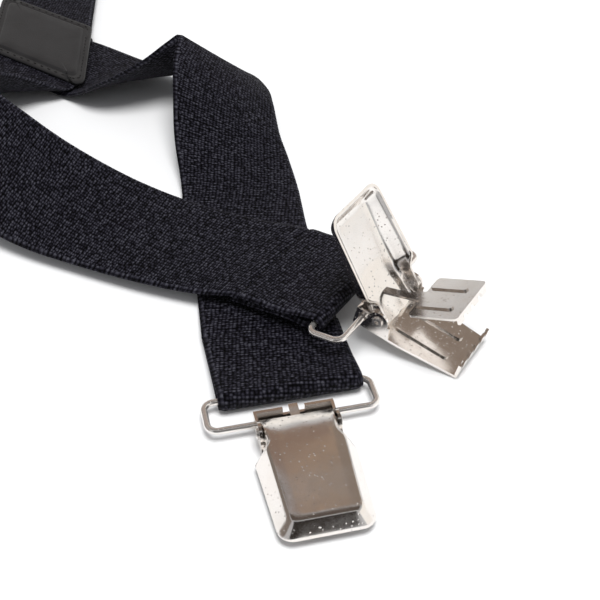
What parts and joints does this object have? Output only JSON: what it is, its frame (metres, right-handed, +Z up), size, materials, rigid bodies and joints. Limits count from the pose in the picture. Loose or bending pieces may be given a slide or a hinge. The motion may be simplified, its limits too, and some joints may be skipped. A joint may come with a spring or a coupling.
{
  "type": "suspenders",
  "caption": "X-back suspenders of charcoal elastic webbing with a leather cross patch, strap adjusters and snap-cover nickel clips on wire loops.",
  "frame": {"origin": "centre of the laid-out suspenders on the table top", "axes": "+Z up from the table; +Y from the back clips towards the front clips, the longest way"},
  "size_m": [0.4198, 0.5552, 0.0383],
  "materials": {
    "webbing": "woven elastic, matte",
    "leather": "dark grey, embossed panel",
    "nickel_steel": "polished nickel plate",
    "wire_steel": "polished nickel plate",
    "adjuster_steel": "polished nickel plate"
  },
  "bodies": {
    "root": {"back_strap_open": "webbing", "back_strap_closed": "webbing", "front_strap_1": "webbing", "front_strap_2": "webbing", "patch_front": "leather", "patch_back": "leather", "adjuster_frame_1": "adjuster_steel", "adjuster_frame_2": "adjuster_steel", "adjuster_pin_1": "adjuster_steel", "adjuster_pin_2": "adjuster_steel"},
    "loop_back_open": {"wire_loop_back_open": "wire_steel"},
    "base_back_open": {"base_plate_back_open": "nickel_steel", "rivets_back_open": "wire_steel"},
    "cover_back_open": {"cover_back_open": "nickel_steel"},
    "jaw_back_open": {"jaw_plate_back_open": "nickel_steel"},
    "loop_back_closed": {"wire_loop_back_closed": "wire_steel"},
    "base_back_closed": {"base_plate_back_closed": "nickel_steel", "rivets_back_closed": "wire_steel"},
    "cover_back_closed": {"cover_back_closed": "nickel_steel"},
    "jaw_back_closed": {"jaw_plate_back_closed": "nickel_steel"},
    "loop_front_1": {"wire_loop_front_1": "wire_steel"},
    "base_front_1": {"base_plate_front_1": "nickel_steel", "rivets_front_1": "wire_steel"},
    "cover_front_1": {"cover_front_1": "nickel_steel"},
    "jaw_front_1": {"jaw_plate_front_1": "nickel_steel"},
    "loop_front_2": {"wire_loop_front_2": "wire_steel"},
    "base_front_2": {"base_plate_front_2": "nickel_steel", "rivets_front_2": "wire_steel"},
    "cover_front_2": {"cover_front_2": "nickel_steel"},
    "jaw_front_2": {"jaw_plate_front_2": "nickel_steel"},
    "adjuster_1": {"adjuster_lever_1": "adjuster_steel"},
    "adjuster_2": {"adjuster_lever_2": "adjuster_steel"}
  },
  "joints": [
    {"name": "loop_swing_back_open", "type": "hinge", "parent": "root", "child": "loop_back_open", "pos_m": [0.17203, -0.19543, 0.00856], "axis": [-0.5373, -0.8434, 0], "range_deg": [-25, 20]},
    {"name": "clip_swing_back_open", "type": "hinge", "parent": "loop_back_open", "child": "base_back_open", "pos_m": [0.18043, -0.20078, 0.00946], "axis": [-0.5373, -0.8434, 0], "range_deg": [-25, 20]},
    {"name": "cover_snap_back_open", "type": "hinge", "parent": "base_back_open", "child": "cover_back_open", "pos_m": [0.18443, -0.20333, 0.01006], "axis": [-0.5373, -0.8434, 0], "range_deg": [-134, 0]},
    {"name": "jaw_lift_back_open", "type": "hinge", "parent": "base_back_open", "child": "jaw_back_open", "pos_m": [0.17931, -0.20007, 0.0118], "axis": [-0.5373, -0.8434, 0], "range_deg": [-32.2, 0]},
    {"name": "loop_swing_back_closed", "type": "hinge", "parent": "root", "child": "loop_back_closed", "pos_m": [0.15473, -0.23063, 0.00306], "axis": [-0.9744, -0.225, 0], "range_deg": [-25, 20]},
    {"name": "clip_swing_back_closed", "type": "hinge", "parent": "loop_back_closed", "child": "base_back_closed", "pos_m": [0.15698, -0.24038, 0.00306], "axis": [-0.9744, -0.225, 0], "range_deg": [-25, 20]},
    {"name": "cover_snap_back_closed", "type": "hinge", "parent": "base_back_closed", "child": "cover_back_closed", "pos_m": [0.15799, -0.24476, 0.00466], "axis": [-0.9744, -0.225, 0], "range_deg": [0, 134]},
    {"name": "jaw_lift_back_closed", "type": "hinge", "parent": "base_back_closed", "child": "jaw_back_closed", "pos_m": [0.15657, -0.23862, 0.00506], "axis": [-0.9744, -0.225, 0], "range_deg": [0, 32.2]},
    {"name": "loop_swing_front_1", "type": "hinge", "parent": "root", "child": "loop_front_1", "pos_m": [0.03218, 0.23082, 0.00306], "axis": [0.9962, 0.0872, 0], "range_deg": [-25, 20]},
    {"name": "clip_swing_front_1", "type": "hinge", "parent": "loop_front_1", "child": "base_front_1", "pos_m": [0.0313, 0.24078, 0.00306], "axis": [0.9962, 0.0872, 0], "range_deg": [-25, 20]},
    {"name": "cover_snap_front_1", "type": "hinge", "parent": "base_front_1", "child": "cover_front_1", "pos_m": [0.03091, 0.24526, 0.00466], "axis": [0.9962, 0.0872, 0], "range_deg": [0, 134]},
    {"name": "jaw_lift_front_1", "type": "hinge", "parent": "base_front_1", "child": "jaw_front_1", "pos_m": [0.03146, 0.23899, 0.00506], "axis": [0.9962, 0.0872, 0], "range_deg": [0, 32.2]},
    {"name": "loop_swing_front_2", "type": "hinge", "parent": "root", "child": "loop_front_2", "pos_m": [-0.16706, 0.1181, 0.00306], "axis": [0.5878, 0.809, 0], "range_deg": [-25, 20]},
    {"name": "clip_swing_front_2", "type": "hinge", "parent": "loop_front_2", "child": "base_front_2", "pos_m": [-0.17515, 0.12397, 0.00306], "axis": [0.5878, 0.809, 0], "range_deg": [-25, 20]},
    {"name": "cover_snap_front_2", "type": "hinge", "parent": "base_front_2", "child": "cover_front_2", "pos_m": [-0.17879, 0.12662, 0.00466], "axis": [0.5878, 0.809, 0], "range_deg": [0, 134]},
    {"name": "jaw_lift_front_2", "type": "hinge", "parent": "base_front_2", "child": "jaw_front_2", "pos_m": [-0.17369, 0.12291, 0.00506], "axis": [0.5878, 0.809, 0], "range_deg": [0, 32.2]},
    {"name": "adjuster_flip_1", "type": "hinge", "parent": "root", "child": "adjuster_1", "pos_m": [0.03527, 0.19545, 0.00546], "axis": [0.9962, 0.0872, 0], "range_deg": [0, 95]},
    {"name": "adjuster_flip_2", "type": "hinge", "parent": "root", "child": "adjuster_2", "pos_m": [-0.13834, 0.09723, 0.00546], "axis": [0.5878, 0.809, 0], "range_deg": [0, 95]}
  ],
  "couplings": [
    {"joint": "jaw_lift_back_open", "follows": "cover_snap_back_open", "ratio": 0.24},
    {"joint": "jaw_lift_back_closed", "follows": "cover_snap_back_closed", "ratio": 0.24},
    {"joint": "jaw_lift_front_1", "follows": "cover_snap_front_1", "ratio": 0.24},
    {"joint": "jaw_lift_front_2", "follows": "cover_snap_front_2", "ratio": 0.24}
  ]
}
